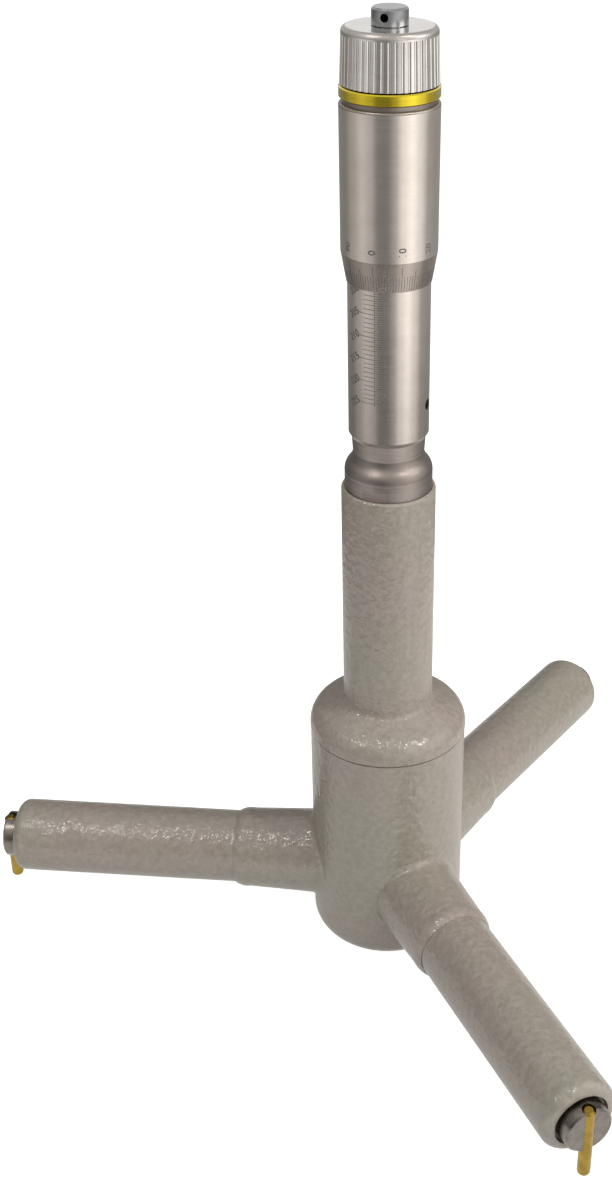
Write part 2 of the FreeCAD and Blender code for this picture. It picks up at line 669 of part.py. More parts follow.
def anvil_key_block(room):
    """The key above the anvil, grown at its sides and top by some room."""
    low = TUBE_END - TUBE_MOUTH_DEPTH - ANVIL_KEY_FROM_MOUTH - ANVIL_KEY_LENGTH
    bottom = ANVIL_RADIUS - ANVIL_KEY_DEPTH + 2 * RUNNING
    top = TUBE_BORE_RADIUS + room
    width = ANVIL_KEY_WIDTH - 2 * RUNNING + 2 * room
    block = Part.makeBox(ANVIL_KEY_LENGTH + 2 * room, width, top - bottom)
    return block.translated(Vector(low - room, -width / 2, ARM_HEIGHT + bottom))


def anvil_key():
    return anvil_key_block(0)


def anvil():
    """The round anvil, grooved across its face for the contact pin and along its top for the key."""
    body = turned_on_arm(
        (anvil_back, 0),
        (anvil_back, ANVIL_HEAD_RADIUS),
        (anvil_back + ANVIL_HEAD_LENGTH, ANVIL_HEAD_RADIUS),
        (anvil_back + ANVIL_HEAD_LENGTH, ANVIL_RADIUS),
        (anvil_face - ANVIL_CHAMFER, ANVIL_RADIUS),
        (anvil_face, ANVIL_RADIUS - ANVIL_CHAMFER),
        (anvil_face, 0),
    )
    groove = Part.makeCylinder(CONTACT_PIN_RADIUS + SEAT, 4 * ANVIL_RADIUS, Vector(pin_reach, 0, ARM_HEIGHT - 2 * ANVIL_RADIUS))
    key_low = TUBE_END - TUBE_MOUTH_DEPTH - ANVIL_KEY_FROM_MOUTH - ANVIL_KEY_LENGTH
    keyway = Part.makeBox(ANVIL_KEY_LENGTH + anvil_travel + 2 * FREE, ANVIL_KEY_WIDTH, ANVIL_KEY_DEPTH + 1)
    keyway.translate(Vector(key_low - anvil_travel - FREE, -ANVIL_KEY_WIDTH / 2, ARM_HEIGHT + ANVIL_RADIUS - ANVIL_KEY_DEPTH))
    thread = rod_on_arm(FOLLOWER_RADIUS + SEAT, anvil_back, anvil_back + FOLLOWER_THREAD_DEPTH)
    return body.cut(groove).cut(keyway).cut(thread)


def contact_pin():
    low = ARM_HEIGHT - CONTACT_PIN_BELOW_AXIS
    high = low + CONTACT_PIN_LENGTH
    flat = CONTACT_PIN_RADIUS - CONTACT_PIN_ROUND
    pin = turned(
        (0, low),
        (flat, low),
        (mid_arc((flat, low + CONTACT_PIN_ROUND), CONTACT_PIN_ROUND, -45), (CONTACT_PIN_RADIUS, low + CONTACT_PIN_ROUND)),
        (CONTACT_PIN_RADIUS, high - CONTACT_PIN_ROUND / 2),
        (CONTACT_PIN_RADIUS - CONTACT_PIN_ROUND / 2, high),
        (0, high),
    )
    return pin.translated(Vector(pin_reach, 0, 0))


def follower_rod():
    """The rod behind the anvil, with a ball end that rides on the cone."""
    end = anvil_back + FOLLOWER_THREAD_DEPTH - SEAT
    return turned_on_arm(
        (FOLLOWER_REST - FOLLOWER_RADIUS, 0),
        (mid_arc((FOLLOWER_REST, 0), FOLLOWER_RADIUS, 135), (FOLLOWER_REST, FOLLOWER_RADIUS)),
        (end, FOLLOWER_RADIUS),
        (end, 0),
    )


def return_spring():
    """The spring between the anvil's head and the step in the tube."""
    start = anvil_back + ANVIL_HEAD_LENGTH + SEAT
    room = tube_guide - SEAT - start - 2 * RETURN_SPRING_WIRE
    mean = (ANVIL_RADIUS + TUBE_BORE_RADIUS) / 2
    spring = coil(mean, RETURN_SPRING_WIRE, room, RETURN_SPRING_TURNS)
    spring.rotate(Vector(0, 0, 0), Vector(0, 1, 0), 90)
    return spring.translated(Vector(start + RETURN_SPRING_WIRE, 0, ARM_HEIGHT))


SINGLE_PIECES = (
    head_body,
    stem_housing,
    handle_collar,
    sleeve,
    inner_sleeve,
    adjusting_nut,
    thimble,
    thimble_ring,
    spindle,
    ratchet_wheel,
    click_spring,
    ratchet_knob,
    ratchet_screw,
    measuring_cone,
    push_rod,
    rod_guide,
    rod_key,
)
ARM_PIECES = (
    rod_bush,
    arm_tube,
    anvil_key,
    anvil,
    contact_pin,
    follower_rod,
    return_spring,
)


def save(shape, name):
    solids = shape.Solids
    if len(solids) != 1 or not shape.isValid():
        raise RuntimeError(name + " is not one valid solid")
    solids[0].exportStep("parts/" + name + ".step")
    print(name, round(solids[0].Volume, 1), "mm3")


os.makedirs("parts", exist_ok=True)
for make in SINGLE_PIECES:
    save(make(), make.__name__)
for make in ARM_PIECES:
    piece = make()
    for number, angle in enumerate(ARM_ANGLES, start=1):
        save(turned_round(piece, angle), make.__name__ + "_" + str(number))
print("stands", round(spigot_top_z, 2), "mm high, rod travel", round(rod_travel, 2), "mm")
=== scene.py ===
# %% [markdown]
# Three-point inside micrometer for bores of 200 to 225 mm.
# A steel screw under a fluted ratchet knob pushes a cone down inside a painted head,
# and the cone drives three anvils out of the arms until their gold pins touch the bore.
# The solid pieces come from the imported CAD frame. This script gives them their finishes,
# adds the fine scales that are too thin for the solids, and sets the studio and the camera.

# %% Load the frame
import math

import bmesh
import bpy
from mathutils import Matrix, Vector


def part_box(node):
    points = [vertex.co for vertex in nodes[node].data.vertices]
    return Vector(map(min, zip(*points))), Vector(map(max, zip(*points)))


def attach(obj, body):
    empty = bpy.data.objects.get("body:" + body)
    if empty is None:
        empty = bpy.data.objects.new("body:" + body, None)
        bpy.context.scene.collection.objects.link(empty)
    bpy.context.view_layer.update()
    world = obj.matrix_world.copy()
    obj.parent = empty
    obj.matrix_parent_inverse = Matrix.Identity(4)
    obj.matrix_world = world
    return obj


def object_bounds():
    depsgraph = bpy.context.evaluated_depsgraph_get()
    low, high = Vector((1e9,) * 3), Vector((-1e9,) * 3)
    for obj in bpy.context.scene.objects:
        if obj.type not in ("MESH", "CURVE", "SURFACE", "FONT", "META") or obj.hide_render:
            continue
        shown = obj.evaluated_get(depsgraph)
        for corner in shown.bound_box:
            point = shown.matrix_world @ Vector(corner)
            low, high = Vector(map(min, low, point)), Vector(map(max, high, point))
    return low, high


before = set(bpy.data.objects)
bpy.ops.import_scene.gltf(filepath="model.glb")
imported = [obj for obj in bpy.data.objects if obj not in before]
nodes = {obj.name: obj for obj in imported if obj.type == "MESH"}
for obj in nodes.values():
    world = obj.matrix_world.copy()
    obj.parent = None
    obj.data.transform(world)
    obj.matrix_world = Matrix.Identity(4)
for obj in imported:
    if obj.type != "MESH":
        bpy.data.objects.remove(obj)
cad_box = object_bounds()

MM = 0.001
print("pieces from the solids:", len(nodes))

# %% [markdown]
# Every finish is built from the same few parts: a shader, a coordinate in the object's own space,
# and noise that breaks the surface up. Object coordinates stay with the piece when a joint moves,
# so a scratch or a speckle never slides over the metal.


# %% Small helpers for materials
def new_finish(name, colour, metallic, roughness):
    """A material with its shader, ready for a pattern."""
    material = bpy.data.materials.new(name)
    material.use_nodes = True
    tree = material.node_tree
    shader = tree.nodes["Principled BSDF"]
    shader.inputs["Base Color"].default_value = (*colour, 1)
    shader.inputs["Metallic"].default_value = metallic
    shader.inputs["Roughness"].default_value = roughness
    return material, tree, shader


def object_space(tree, scale=(1, 1, 1)):
    """The piece's own coordinates in metres, stretched by a scale."""
    coordinate = tree.nodes.new("ShaderNodeTexCoord")
    mapping = tree.nodes.new("ShaderNodeMapping")
    mapping.inputs["Scale"].default_value = scale
    tree.links.new(coordinate.outputs["Object"], mapping.inputs["Vector"])
    return mapping.outputs["Vector"]


def noise(tree, vector, scale, detail=2.0, roughness=0.5):
    """Soft random patches; scale is how many fit in a metre."""
    texture = tree.nodes.new("ShaderNodeTexNoise")
    texture.inputs["Scale"].default_value = scale
    texture.inputs["Detail"].default_value = detail
    texture.inputs["Roughness"].default_value = roughness
    tree.links.new(vector, texture.inputs["Vector"])
    return texture.outputs["Fac"]


def spread(tree, value, low, high, new_low, new_high):
    """Stretches a value between two limits onto two others."""
    ranged = tree.nodes.new("ShaderNodeMapRange")
    ranged.inputs["From Min"].default_value = low
    ranged.inputs["From Max"].default_value = high
    ranged.inputs["To Min"].default_value = new_low
    ranged.inputs["To Max"].default_value = new_high
    tree.links.new(value, ranged.inputs["Value"])
    return ranged.outputs["Result"]


def two_tone(tree, value, dark, light, low=0.3, high=0.7):
    """A colour that runs from dark to light as the value rises."""
    ramp = tree.nodes.new("ShaderNodeValToRGB")
    ramp.color_ramp.elements[0].position = low
    ramp.color_ramp.elements[0].color = (*dark, 1)
    ramp.color_ramp.elements[1].position = high
    ramp.color_ramp.elements[1].color = (*light, 1)
    tree.links.new(value, ramp.inputs["Fac"])
    return ramp.outputs["Color"]


# a Mix node has its own inputs and output for each kind of value, found by their places
FIRST_COLOUR, SECOND_COLOUR, MIXED_COLOUR = 6, 7, 2
FIRST_NUMBER, SECOND_NUMBER, MIXED_NUMBER = 2, 3, 0


def feed(tree, colour, socket):
    """Gives a socket a plain colour, or the colour that another node makes."""
    if isinstance(colour, tuple):
        socket.default_value = (*colour, 1)
    else:
        tree.links.new(colour, socket)


def blend_colours(tree, share, first, second):
    """Mixes two colours by a share from 0 to 1."""
    mix = tree.nodes.new("ShaderNodeMix")
    mix.data_type = "RGBA"
    tree.links.new(share, mix.inputs["Factor"])
    feed(tree, first, mix.inputs[FIRST_COLOUR])
    feed(tree, second, mix.inputs[SECOND_COLOUR])
    return mix.outputs[MIXED_COLOUR]


def tinted(tree, colour, tint):
    """Multiplies one colour by another."""
    mix = tree.nodes.new("ShaderNodeMix")
    mix.data_type = "RGBA"
    mix.blend_type = "MULTIPLY"
    mix.inputs["Factor"].default_value = 1.0
    feed(tree, colour, mix.inputs[FIRST_COLOUR])
    feed(tree, tint, mix.inputs[SECOND_COLOUR])
    return mix.outputs[MIXED_COLOUR]


def blend_numbers(tree, share, first, second):
    """Mixes a node's value with a plain number by a share from 0 to 1."""
    mix = tree.nodes.new("ShaderNodeMix")
    mix.data_type = "FLOAT"
    tree.links.new(share, mix.inputs["Factor"])
    tree.links.new(first, mix.inputs[FIRST_NUMBER])
    mix.inputs[SECOND_NUMBER].default_value = second
    return mix.outputs[MIXED_NUMBER]


def between_heights(tree, low, high):
    """One for points between two heights in metres, and zero for all others."""
    parts = tree.nodes.new("ShaderNodeSeparateXYZ")
    tree.links.new(object_space(tree), parts.inputs["Vector"])
    inside = tree.nodes.new("ShaderNodeMath")
    inside.operation = "COMPARE"
    tree.links.new(parts.outputs["Z"], inside.inputs[0])
    inside.inputs[1].default_value = (low + high) / 2
    inside.inputs[2].default_value = (high - low) / 2
    return inside.outputs["Value"]


def relief(tree, value, strength, depth, below=None):
    """Raises the surface by a value; depth is in metres."""
    bump = tree.nodes.new("ShaderNodeBump")
    bump.inputs["Strength"].default_value = strength
    bump.inputs["Distance"].default_value = depth
    tree.links.new(value, bump.inputs["Height"])
    if below is not None:
        tree.links.new(below, bump.inputs["Normal"])
    return bump.outputs["Normal"]


def dress(material, *names):
    """Gives CAD nodes their finish."""
    for name in names:
        mesh = nodes[name].data
        mesh.materials.clear()
        mesh.materials.append(material)


def three(name):
    """The names of a piece that every arm has."""
    return [name + "_" + str(arm) for arm in (1, 2, 3)]


# %% [markdown]
# The head, the stem and the arm tubes wear one coat of warm grey hammer enamel.
# On the real thing the wet paint pulls into small waves and pits, so it is dull from afar
# and sparkles in flecks where a lamp strikes it. A painter's way would be a height image;
# here noises of four sizes do it, because they have no seam on the bosses and the dome.
# The colour underneath takes only a little of the waves, and the clear coat over it takes them all.


# %% Hammer enamel
def hammer_enamel():
    dark = (0.300, 0.264, 0.222)
    light = (0.360, 0.319, 0.272)
    material, tree, shader = new_finish("hammer_enamel", light, 0.0, 0.4)
    space = object_space(tree)
    grain = noise(tree, space, 700, 3, 0.6)
    drift = two_tone(tree, noise(tree, space, 34, 1, 0.4), (0.96, 1.0, 0.965), (1.0, 0.965, 0.99), 0.35, 0.65)
    colour = tinted(tree, two_tone(tree, grain, dark, light, 0.35, 0.65), drift)
    tree.links.new(colour, shader.inputs["Base Color"])
    tree.links.new(spread(tree, grain, 0.3, 0.7, 0.38, 0.52), shader.inputs["Roughness"])
    ripple = noise(tree, space, 520, 2, 0.5)
    soft = relief(tree, ripple, 0.26, 0.0009)
    tree.links.new(soft, shader.inputs["Normal"])
    waves = relief(tree, ripple, 0.5, 0.0009)
    pits = relief(tree, noise(tree, space, 1000, 2, 0.5), 0.4, 0.0004, waves)
    shader.inputs["Specular IOR Level"].default_value = 0.15
    shader.inputs["Coat Weight"].default_value = 0.2
    shader.inputs["Coat IOR"].default_value = 2.6
    shader.inputs["Coat Roughness"].default_value = 0.08
    tree.links.new(pits, shader.inputs["Coat Normal"])
    return material


painted = ["head_body", "stem_housing", *three("arm_tube")]
dress(hammer_enamel(), *painted)
print("painted pieces:", len(painted))

# %% [markdown]
# The collar, sleeve, thimble and ratchet are turned steel with satin chrome.
# A lathe leaves rings that are far too fine to model, so noise that is stretched flat
# in the two directions across the axis draws them, and a softer noise clouds the polish.
# The bevel, the chamfer and the rounded edges are zones of their own, each with its own roughness and with
# its colour darkened as painted shade that damps their reflections.


# %% Satin chrome
def satin_chrome(name, dark, light, roughness, shade_zones=()):
    """Each zone is a low height, a high height, a tint and a roughness; the tint darkens the colour there as
    painted shade.
    """
    material, tree, shader = new_finish(name, light, 1.0, roughness)
    rings = noise(tree, object_space(tree, (25, 25, 5200)), 1, 2, 0.6)
    clouds = noise(tree, object_space(tree), 180, 3, 0.6)
    colour = two_tone(tree, clouds, dark, light)
    gloss = spread(tree, rings, 0.3, 0.7, roughness - 0.05, roughness + 0.07)
    # each zone's tint darkens the colour as painted shade, and its roughness takes the metal's place
    for low, high, tint, dull in shade_zones:
        inside = between_heights(tree, low, high)
        colour = blend_colours(tree, inside, colour, tinted(tree, colour, tint))
        gloss = blend_numbers(tree, inside, gloss, dull)
    tree.links.new(colour, shader.inputs["Base Color"])
    tree.links.new(gloss, shader.inputs["Roughness"])
    tree.links.new(relief(tree, rings, 0.12, 0.00004), shader.inputs["Normal"])
    return material


# %% Where the chrome takes its own roughness and painted shade
thimble_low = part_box("thimble")[0]
sleeve_low, sleeve_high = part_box("sleeve")
ring_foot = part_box("thimble_ring")[0].z
knob_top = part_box("ratchet_knob")[1].z
stem_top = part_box("stem_housing")[1].z
BEVEL_HEIGHT = 6.4 * MM
THIMBLE_TOP_EDGE = 1.5 * MM
SLEEVE_CHAMFER = 1.02 * MM
KNOB_EDGE_FOOT = 1.15 * MM
KNOB_EDGE_HEAD = 0.03 * MM
FLARE_ABOVE_STEM = 4.2 * MM
FLARE_HEIGHT = 4.6 * MM
# a zone at a lower end starts this far below it, so that the end face is in it too
BELOW_END = 1 * MM
# the tints in these zones are painted shade that damps bright reflections on the bevel, the edges, the
# chamfer and the flare
thimble_shade_zones = (
    (thimble_low.z - BELOW_END, thimble_low.z + BEVEL_HEIGHT, (0.78, 0.75, 0.73), 0.19),
    (ring_foot - THIMBLE_TOP_EDGE, ring_foot, (0.40, 0.38, 0.36), 0.4),
)
sleeve_shade_zones = ((sleeve_low.z - BELOW_END, sleeve_low.z + SLEEVE_CHAMFER, (0.42, 0.40, 0.38), 0.45),)
knob_shade_zones = ((knob_top - KNOB_EDGE_FOOT, knob_top - KNOB_EDGE_HEAD, (0.55, 0.54, 0.53), 0.4),)
flare_foot = stem_top + FLARE_ABOVE_STEM
collar_shade_zones = ((flare_foot, flare_foot + FLARE_HEIGHT, (0.64, 0.63, 0.62), 0.4),)
print("flare of the collar from", round(flare_foot / MM, 2), "mm up")

# %% Chrome on its pieces
thimble_chrome = satin_chrome(
    "thimble_chrome", (0.55, 0.495, 0.45), (0.61, 0.555, 0.51), 0.2, thimble_shade_zones
)
sleeve_chrome = satin_chrome("sleeve_chrome", (0.54, 0.485, 0.44), (0.60, 0.545, 0.50), 0.2, sleeve_shade_zones)
collar_chrome = satin_chrome("collar_chrome", (0.31, 0.268, 0.247), (0.37, 0.326, 0.30), 0.31, collar_shade_zones)
knob_chrome = satin_chrome("knob_chrome", (0.54, 0.51, 0.48), (0.63, 0.60, 0.57), 0.17, knob_shade_zones)
dress(thimble_chrome, "thimble")
dress(sleeve_chrome, "sleeve")
dress(collar_chrome, "handle_collar")
dress(knob_chrome, "ratchet_knob")

# %% [markdown]
# The range ring under the knob is aluminium with a yellow anodised skin.
# Anodising is a clear dyed layer over bright metal, so it reflects like metal but in its own colour.


# %% Yellow anodised ring
def anodised_yellow():
    material, tree, shader = new_finish("anodised_yellow", (0.62, 0.44, 0.010), 1.0, 0.15)
    rings = noise(tree, object_space(tree, (30, 30, 6000)), 1, 2, 0.6)
    colour = two_tone(tree, rings, (0.55, 0.41, 0.006), (0.66, 0.53, 0.014))
    tree.links.new(colour, shader.inputs["Base Color"])
    shader.inputs["Coat Weight"].default_value = 0.6
    shader.inputs["Coat Roughness"].default_value = 0.15
    tree.links.new(relief(tree, rings, 0.1, 0.00003), shader.inputs["Normal"])
    return material


dress(anodised_yellow(), "thimble_ring")


# %% [markdown]
# The anvils, rods, cone and screws are ground hardened steel, darker and less polished than chrome.
# The pins have a gold-coloured hard coating, and the inner guides are bearing bronze.
# The cross hole in the top screw is painted black inside as its shade, which is done by the distance to the
# hole's axis.


# %% Steel, coating and bronze
def beyond_bore(tree, space, point, direction, radius):
    """Zero inside a bore and one outside it, from the distance to the bore's axis."""
    from_point = tree.nodes.new("ShaderNodeVectorMath")
    from_point.operation = "SUBTRACT"
    tree.links.new(space, from_point.inputs[0])
    from_point.inputs[1].default_value = point
    sideways = tree.nodes.new("ShaderNodeVectorMath")
    sideways.operation = "CROSS_PRODUCT"
    tree.links.new(from_point.outputs["Vector"], sideways.inputs[0])
    sideways.inputs[1].default_value = direction
    distance = tree.nodes.new("ShaderNodeVectorMath")
    distance.operation = "LENGTH"
    tree.links.new(sideways.outputs["Vector"], distance.inputs[0])
    return spread(tree, distance.outputs["Value"], radius, radius * 1.02, 0, 1)


def ground_metal(name, dark, light, roughness, shade_bore=None):
    """The bore is a point, a direction and a radius: metal inside it is painted black as the bore's shade."""
    material, tree, shader = new_finish(name, light, 1.0, roughness)
    space = object_space(tree)
    clouds = noise(tree, space, 420, 3, 0.6)
    colour = two_tone(tree, clouds, dark, light)
    if shade_bore is not None:
        outside_hole_shade = beyond_bore(tree, space, *shade_bore)
        # inside the bore the metal is painted black as shade
        colour = blend_colours(tree, outside_hole_shade, (0.003, 0.003, 0.003), colour)
        tree.links.new(outside_hole_shade, shader.inputs["Metallic"])
        tree.links.new(outside_hole_shade, shader.inputs["Specular IOR Level"])
    tree.links.new(colour, shader.inputs["Base Color"])
    gloss = spread(tree, clouds, 0.3, 0.7, roughness - 0.06, roughness + 0.08)
    tree.links.new(gloss, shader.inputs["Roughness"])
    tree.links.new(relief(tree, noise(tree, space, 4200, 2), 0.12, 0.00004), shader.inputs["Normal"])
    return material


steel = ground_metal("ground_steel", (0.17, 0.15, 0.13), (0.26, 0.235, 0.205), 0.28)
dress(steel, "spindle", "push_rod", "measuring_cone", "rod_key", "ratchet_wheel")
dress(steel, *three("follower_rod"), *three("anvil_key"))
anvil_steel = ground_metal("anvil_steel", (0.12, 0.106, 0.093), (0.19, 0.17, 0.15), 0.26)
dress(anvil_steel, *three("anvil"))
black_steel = ground_metal("blackened_steel", (0.012, 0.011, 0.010), (0.03, 0.028, 0.026), 0.5)
dress(black_steel, "inner_sleeve", "adjusting_nut")
# a point on the cross hole's axis, the axis's direction and the hole's radius; inside it the metal is painted
# black as shade
SCREW_HOLE_SHADE = ((0, 0, 225.9 * MM), (-0.225, -0.9744, 0), 0.82 * MM)
grey_steel = ground_metal("grey_steel", (0.20, 0.205, 0.21), (0.29, 0.295, 0.30), 0.24, SCREW_HOLE_SHADE)
dress(grey_steel, "ratchet_screw")
spring_steel = ground_metal("spring_steel", (0.16, 0.155, 0.15), (0.26, 0.25, 0.24), 0.35)
dress(spring_steel, "click_spring", *three("return_spring"))
gold = ground_metal("gold_coating", (0.20, 0.135, 0.022), (0.30, 0.205, 0.04), 0.3)
dress(gold, *three("contact_pin"))
bronze = ground_metal("bearing_bronze", (0.33, 0.19, 0.08), (0.45, 0.28, 0.13), 0.38)
dress(bronze, "rod_guide", *three("rod_bush"))

# %% [markdown]
# The engraved scales are filled with dark paint. On the real parts a divider cuts them line by line.
# Here they are first drawn flat, as a developed view, and then wrapped round the metal.
# Thin pieces are better than a drawn image, because they stay sharp in a close view.

# %% Where the scales lie
SLEEVE_RADIUS = (sleeve_high.x - sleeve_low.x) / 2
THIMBLE_RADIUS = 10.18 * MM
LIP_RADIUS = 9.05 * MM
# the index line's side, in degrees round the axis
INDEX_ANGLE = 254.7
LINE_WIDTH = 0.12 * MM
LINE_LIFT = 0.012 * MM
TRAVEL_IN_MM = 25
print("sleeve radius:", round(SLEEVE_RADIUS / MM, 2), "mm")
print("thimble edge at:", round(thimble_low.z / MM, 2), "mm")


# %% Paint in the engraving
def scale_paint():
    material, tree, shader = new_finish("scale_paint", (0.10, 0.088, 0.078), 0.0, 0.6)
    worn = noise(tree, object_space(tree), 900, 2, 0.6)
    colour = two_tone(tree, worn, (0.08, 0.07, 0.062), (0.18, 0.16, 0.142))
    tree.links.new(colour, shader.inputs["Base Color"])
    return material


paint = scale_paint()


# %% Flat drawing and wrapping
def draw_line(drawing, x, y, width, height):
    """A rectangle in the flat drawing, in short pieces along x so that it can bend."""
    pieces = max(1, math.ceil(width / (0.5 * MM)))
    place = Matrix.Translation((x, y, 0)) @ Matrix.Diagonal((width, height, 1, 1))
    bmesh.ops.create_grid(drawing, x_segments=pieces, y_segments=1, size=0.5, matrix=place)


def draw_number(drawing, text, size, turn, x, y):
    """A figure from Blender's own letters, turned in the drawing's plane."""
    curve = bpy.data.curves.new("figure", "FONT")
    curve.body = text
    curve.size = size
    curve.align_x = "CENTER"
    curve.align_y = "CENTER"
    curve.resolution_u = 3
    curve.offset = 0.02 * size
    holder = bpy.data.objects.new("figure", curve)
    bpy.context.scene.collection.objects.link(holder)
    bpy.context.view_layer.update()
    flat = bpy.data.meshes.new_from_object(holder)
    flat.transform(Matrix.Translation((x, y, 0)) @ Matrix.Rotation(math.radians(turn), 4, "Z"))
    drawing.from_mesh(flat)
    bpy.data.objects.remove(holder)
    bpy.data.curves.remove(curve)
    bpy.data.meshes.remove(flat)


def wrap(drawing, start_angle, base_height, low_radius, slope=0.0):
    """Bends the drawing round the axis. X runs round the metal, y runs up it, and slope is the bevel's."""
    for vertex in drawing.verts:
        along, up = vertex.co.x, vertex.co.y
        radius = low_radius + slope * up + LINE_LIFT
        turn = math.radians(start_angle) + along / low_radius
        vertex.co = (radius * math.cos(turn), radius * math.sin(turn), base_height + up)


def finished(name, drawing, body):
    """Turns a wrapped drawing into a painted piece that rides on a body."""
    mesh = bpy.data.meshes.new(name)
    drawing.to_mesh(mesh)
    drawing.free()
    mesh.materials.append(paint)
    piece = bpy.data.objects.new(name, mesh)
    bpy.context.scene.collection.objects.link(piece)
    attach(piece, body)
    print(name, "faces:", len(mesh.polygons))
    return piece


# %% [markdown]
# The sleeve's lines left of the index stand for whole millimetres, and the short ones right of it for halves.
# An image could show them, but thin pieces keep their edges, and a loop spaces them from the travel.

# %% Sleeve scale
LONG_LINE = 4.1 * MM
PLAIN_LINE = 2.6 * MM
HALF_LINE = 2.0 * MM
SMALLEST_BORE = 200
SLEEVE_FIGURE = 2.3 * MM
FIGURE_SLANT = 35
FIGURE_GAP = 1.3 * MM
FIGURE_DROP = 0.6 * MM


def sleeve_scale():
    drawing = bmesh.new()
    for step in range(2 * TRAVEL_IN_MM + 1):
        down = -step / 2 * MM
        draw_line(drawing, HALF_LINE / 2, down, HALF_LINE, LINE_WIDTH)
        if step % 2 == 0:
            reach = LONG_LINE if step % 10 == 0 else PLAIN_LINE
            draw_line(drawing, -reach / 2, down, reach, LINE_WIDTH)
    index_length = (TRAVEL_IN_MM + 1) * MM
    draw_line(drawing, 0, 0.5 * MM - index_length / 2, LINE_WIDTH, index_length)
    for reading in range(0, TRAVEL_IN_MM + 1, 5):
        place = -reading * MM - FIGURE_DROP
        figure = str(SMALLEST_BORE + reading)
        draw_number(drawing, figure, SLEEVE_FIGURE, FIGURE_SLANT, -LONG_LINE - FIGURE_GAP, place)
    wrap(drawing, INDEX_ANGLE, thimble_low.z, SLEEVE_RADIUS)
    return finished("sleeve_scale", drawing, "frame")


sleeve_scale()


# %% [markdown]
# A hundred lines go round the bevel, every tenth of them longer, with its number above the bevel.
# The bevel is a cone, so the flat drawing is wrapped with a slope and the lines follow the metal.

# %% Thimble scale
LINES_AROUND = 100
TEN_LINE = 5.4 * MM
FIVE_LINE = 4.4 * MM
UNIT_LINE = 3.2 * MM
EDGE_GAP = 0.15 * MM
BEVEL_LINE_WIDTH = 0.8 * LINE_WIDTH
NUMBER_ABOVE_EDGE = 8.6 * MM
THIMBLE_FIGURE = 2.2 * MM
SIDEWAYS = 90


def bevel_scale():
    drawing = bmesh.new()
    pitch = 2 * math.pi * LIP_RADIUS / LINES_AROUND
    for line in range(LINES_AROUND):
        length = TEN_LINE if line % 10 == 0 else FIVE_LINE if line % 5 == 0 else UNIT_LINE
        draw_line(drawing, line * pitch, EDGE_GAP + length / 2, BEVEL_LINE_WIDTH, length)
    wrap(drawing, INDEX_ANGLE, thimble_low.z, LIP_RADIUS, (THIMBLE_RADIUS - LIP_RADIUS) / BEVEL_HEIGHT)
    return finished("bevel_scale", drawing, "thimble")


def thimble_numbers():
    drawing = bmesh.new()
    pitch = 2 * math.pi * THIMBLE_RADIUS / 10
    for ten in range(10):
        draw_number(drawing, str(10 * ten), THIMBLE_FIGURE, SIDEWAYS, ten * pitch, 0)
    wrap(drawing, INDEX_ANGLE, thimble_low.z + NUMBER_ABOVE_EDGE, THIMBLE_RADIUS)
    return finished("thimble_numbers", drawing, "thimble")


bevel_scale()
thimble_numbers()

# %% [markdown]
# The studio is a pale floor in a white room. The room is only white to the camera and in reflections,
# so a weak fill and the lamps set how light the object is. Two small soft boxes hang high, left and right
# of the camera, and give the highlights on the shoulder. A long strip on the left draws the flecks
# along the left arm, and two large panels, one in front and one at the right, model the round shapes.

# %% Floor and room
FLOOR_SIZE = 6.0
FLOOR_DROP = 0.1 * MM
floor_builder = bmesh.new()
bmesh.ops.create_grid(floor_builder, x_segments=1, y_segments=1, size=FLOOR_SIZE / 2)
floor_mesh = bpy.data.meshes.new("floor")
floor_builder.to_mesh(floor_mesh)
floor_builder.free()
floor = bpy.data.objects.new("floor", floor_mesh)
floor.location.z = cad_box[0][2] - FLOOR_DROP
bpy.context.scene.collection.objects.link(floor)


def background_rays(tree):
    """One where a ray comes from the camera, a reflection or glass."""
    path = tree.nodes.new("ShaderNodeLightPath")
    first = tree.nodes.new("ShaderNodeMath")
    first.operation = "MAXIMUM"
    tree.links.new(path.outputs["Is Camera Ray"], first.inputs[0])
    tree.links.new(path.outputs["Is Glossy Ray"], first.inputs[1])
    second = tree.nodes.new("ShaderNodeMath")
    second.operation = "MAXIMUM"
    tree.links.new(first.outputs["Value"], second.inputs[0])
    tree.links.new(path.outputs["Is Transmission Ray"], second.inputs[1])
    return second.outputs["Value"]


FLOOR_GLOW = 0.90
floor_material, floor_tree, floor_shader = new_finish("pale_floor", (0.6, 0.6, 0.59), 0.0, 0.9)
floor_shader.inputs["Emission Color"].default_value = (1, 1, 1, 1)
floor_glow = spread(floor_tree, background_rays(floor_tree), 0, 1, 0, FLOOR_GLOW)
floor_tree.links.new(floor_glow, floor_shader.inputs["Emission Strength"])
floor_mesh.materials.append(floor_material)

ROOM_FILL = 0.27
world = bpy.data.worlds.new("white_room")
bpy.context.scene.world = world
world.use_nodes = True
world_tree = world.node_tree
room = world_tree.nodes["Background"]
room.inputs["Color"].default_value = (1, 1, 1, 1)
room_glow = spread(world_tree, background_rays(world_tree), 0, 1, ROOM_FILL, 1.0)
world_tree.links.new(room_glow, room.inputs["Strength"])

# %% [markdown]
# The camera stands where the photograph was taken from. Its place, tilt and lens come from a fit of the
# instrument's outline, which keeps the lean of the stem and the spread of the arms.

